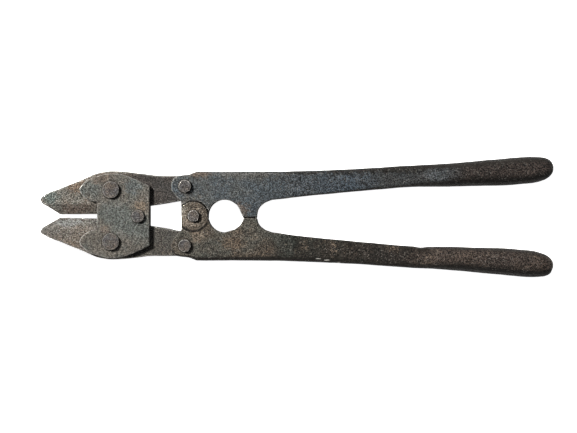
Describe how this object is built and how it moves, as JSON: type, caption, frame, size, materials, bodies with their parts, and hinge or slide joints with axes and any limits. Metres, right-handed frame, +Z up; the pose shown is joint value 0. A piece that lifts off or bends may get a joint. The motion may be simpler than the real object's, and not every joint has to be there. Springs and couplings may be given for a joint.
{
  "type": "bolt cutters",
  "caption": "Forged compound-lever bolt cutters: bevelled jaws between two side plates, forked handles lapped on a centre pin, round grips.",
  "frame": {"origin": "centre of the bounding box in plan, on the plane the tool lies on", "axes": "+X along the tool towards the grips, +Y from the lower handle to the upper one, +Z up out of the face that carries the pin heads"},
  "size_m": [0.457, 0.1078, 0.027],
  "materials": {
    "plate_steel": "dark weathered forged steel, pitted",
    "jaw_steel": "worn tool steel with ground bevels",
    "handle_steel": "dark forged steel, rust in patches, browned grips",
    "rivet_steel": "worn rivet steel"
  },
  "bodies": {
    "plates": {"front_strap": "plate_steel", "back_strap": "plate_steel", "upper_jaw_pin": "rivet_steel", "lower_jaw_pin": "rivet_steel", "spacer_rivet": "rivet_steel", "spacer_sleeve": "rivet_steel", "upper_jaw_washer": "rivet_steel", "lower_jaw_washer": "rivet_steel", "spacer_washer": "rivet_steel"},
    "upper_jaw": {"upper_jaw": "jaw_steel"},
    "lower_jaw": {"lower_jaw": "jaw_steel"},
    "upper_handle": {"upper_handle": "handle_steel", "upper_link_pin": "rivet_steel", "upper_link_washer": "rivet_steel"},
    "lower_handle": {"lower_handle": "handle_steel", "lower_link_pin": "rivet_steel", "lower_link_washer": "rivet_steel", "centre_pin": "rivet_steel", "centre_washer": "rivet_steel"}
  },
  "joints": [
    {"name": "handle_spread", "type": "hinge", "parent": "upper_handle", "child": "lower_handle", "pos_m": [-0.0919, 0, 0.0137], "axis": [0, 0, -1], "range_deg": [0, 60]},
    {"name": "upper_jaw_pivot", "type": "hinge", "parent": "plates", "child": "upper_jaw", "pos_m": [-0.1652, 0.023, 0.0137], "axis": [0, 0, -1], "range_deg": [0, 6]},
    {"name": "lower_jaw_pivot", "type": "hinge", "parent": "plates", "child": "lower_jaw", "pos_m": [-0.1652, -0.023, 0.0137], "axis": [0, 0, 1], "range_deg": [0, 6]},
    {"name": "upper_link", "type": "hinge", "parent": "upper_jaw", "child": "upper_handle", "pos_m": [-0.0996, 0.0264, 0.0137], "axis": [0, 0, 1], "range_deg": [0, 36]}
  ],
  "couplings": [
    {"joint": "upper_jaw_pivot", "follows": "handle_spread", "ratio": 0.1},
    {"joint": "lower_jaw_pivot", "follows": "handle_spread", "ratio": 0.1},
    {"joint": "upper_link", "follows": "handle_spread", "ratio": 0.6}
  ]
}
